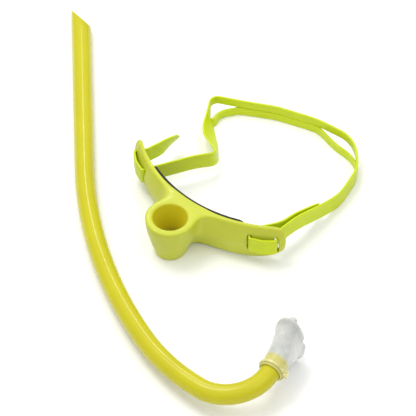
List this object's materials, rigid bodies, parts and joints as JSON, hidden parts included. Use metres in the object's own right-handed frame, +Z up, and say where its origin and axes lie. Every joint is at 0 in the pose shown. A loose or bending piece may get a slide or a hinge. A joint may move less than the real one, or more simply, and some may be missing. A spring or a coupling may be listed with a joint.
{
  "type": "swim snorkel",
  "caption": "Front-mount swim snorkel taken apart: bent tube with clear mouthpiece lying beside a forehead bracket with tube socket, pad and rubber head strap.",
  "frame": {"origin": "axis of the bracket's tube socket, on the floor", "axes": "+Z up along the socket, +Y along the tube's straight run towards its open top, +X towards the mouthpiece side"},
  "size_m": [0.2545, 0.4901, 0.057],
  "materials": {
    "tube_yellow": "smooth glossy yellow plastic tube",
    "bracket_lime": "soft satin lime moulding",
    "strap_lime": "smooth satin silicone strap with fine ribs",
    "pad_black": "matt black closed-cell foam",
    "mouthpiece_clear": "milky clear silicone",
    "tie_clear": "clear nylon tie"
  },
  "bodies": {
    "bracket": {"forehead_bracket": "bracket_lime", "forehead_pad": "pad_black", "strap_left_end": "strap_lime", "strap_right_end": "strap_lime"},
    "strap": {"head_strap": "strap_lime"},
    "snorkel": {"snorkel_tube": "tube_yellow"},
    "mouthpiece": {"mouthpiece": "mouthpiece_clear", "mouthpiece_tie": "tie_clear"}
  },
  "joints": [
    {"name": "strap_swing", "type": "hinge", "parent": "bracket", "child": "strap", "pos_m": [0.04856, 0.05207, 0.023], "axis": [0.7314, -0.682, 0], "range_deg": [-30, 60]},
    {"name": "snorkel_slide", "type": "slide", "parent": "bracket", "child": "snorkel", "axis": [-1, 0, 0], "range_m": [0, 0.15]},
    {"name": "mouthpiece_swivel", "type": "hinge", "parent": "snorkel", "child": "mouthpiece", "pos_m": [0.08525, -0.1548, 0.02721], "axis": [0.5367, 0.8415, 0.0614], "range_deg": [-45, 45]}
  ]
}
